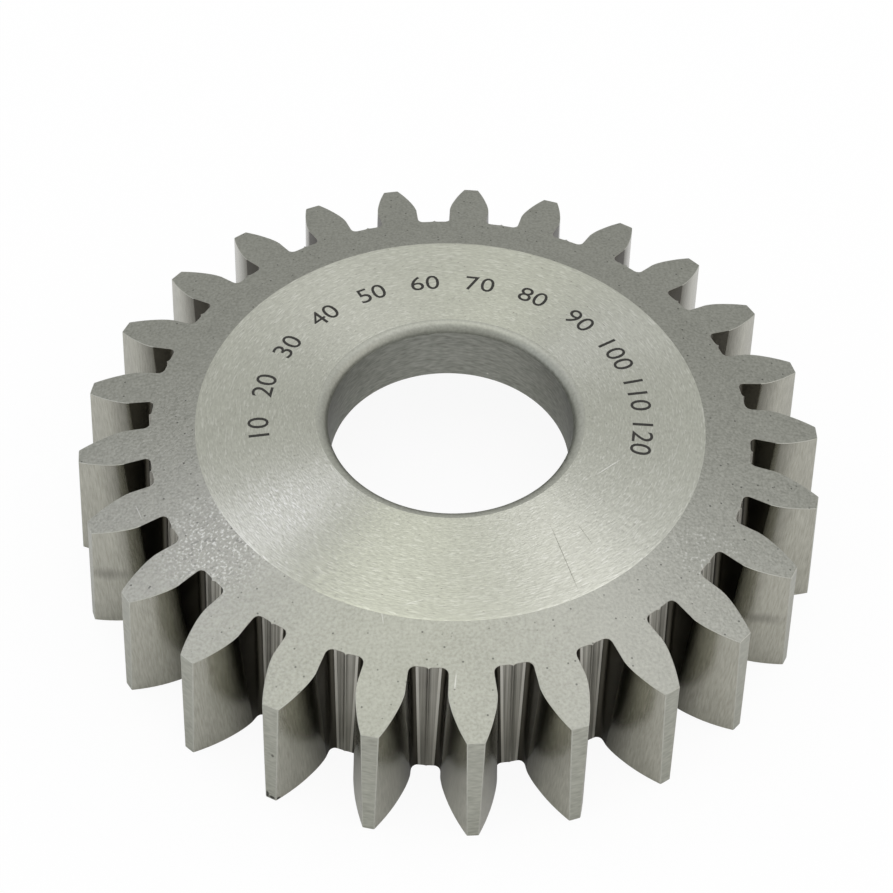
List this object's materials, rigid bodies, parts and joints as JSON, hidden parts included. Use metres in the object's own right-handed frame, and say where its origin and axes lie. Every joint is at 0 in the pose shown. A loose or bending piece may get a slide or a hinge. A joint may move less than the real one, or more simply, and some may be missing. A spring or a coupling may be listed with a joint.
{
  "type": "disc gear shaper cutter",
  "caption": "Disc gear shaper cutter with straight involute teeth, a hollow cutting face, a nut recess and a ground bore that seats on a machine arbor.",
  "frame": {"origin": "on the bore axis, in the plane of the cutting tips that the cutter lies on", "axes": "+Z along the bore axis, from the cutting tips to the support face; one tooth points along -Y"},
  "size_m": [0.1384, 0.1382, 0.028],
  "materials": {
    "ground_steel": "hardened high-speed steel, ground on the support ring, bore, cutting face and flanks, matte on the back of the teeth"
  },
  "bodies": {
    "root": {"shaper_cutter": "ground_steel"}
  },
  "joints": []
}
